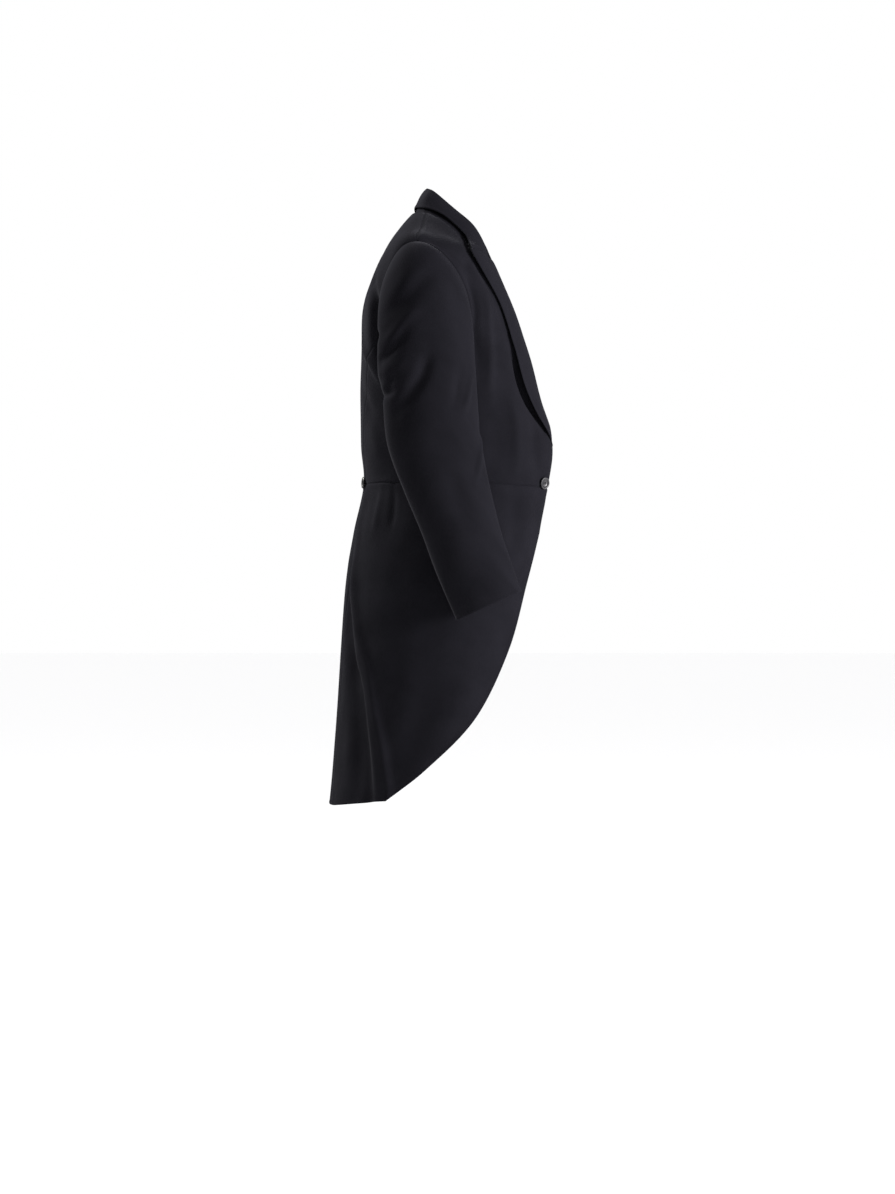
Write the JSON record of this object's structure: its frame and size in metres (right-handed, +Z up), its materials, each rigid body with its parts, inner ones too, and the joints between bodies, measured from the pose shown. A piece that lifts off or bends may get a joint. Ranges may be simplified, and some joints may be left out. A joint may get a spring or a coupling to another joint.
{
  "type": "morning coat",
  "caption": "Black wool morning coat, a cutaway tailcoat worn open, with peak lapels, a waist seam and long curved skirts.",
  "frame": {"origin": "the seat of the neck, on the middle plane, level with the lower edge of the collar at the back", "axes": "+X to the wearer's left, -Y to the wearer's front, +Z up"},
  "size_m": [0.6016, 0.3831, 1.0514],
  "materials": {
    "wool": "matte",
    "button": "gloss"
  },
  "bodies": {
    "root": {"back_left": "wool", "back_right": "wool", "side_body_left": "wool", "side_body_right": "wool", "forepart_left": "wool", "forepart_right": "wool", "skirt_left": "wool", "skirt_right": "wool", "lapel_left": "wool", "lapel_right": "wool", "top_sleeve_left": "wool", "top_sleeve_right": "wool", "under_sleeve_left": "wool", "under_sleeve_right": "wool", "collar": "wool", "front_button": "button", "hip_button_left": "button", "hip_button_right": "button"}
  },
  "joints": []
}
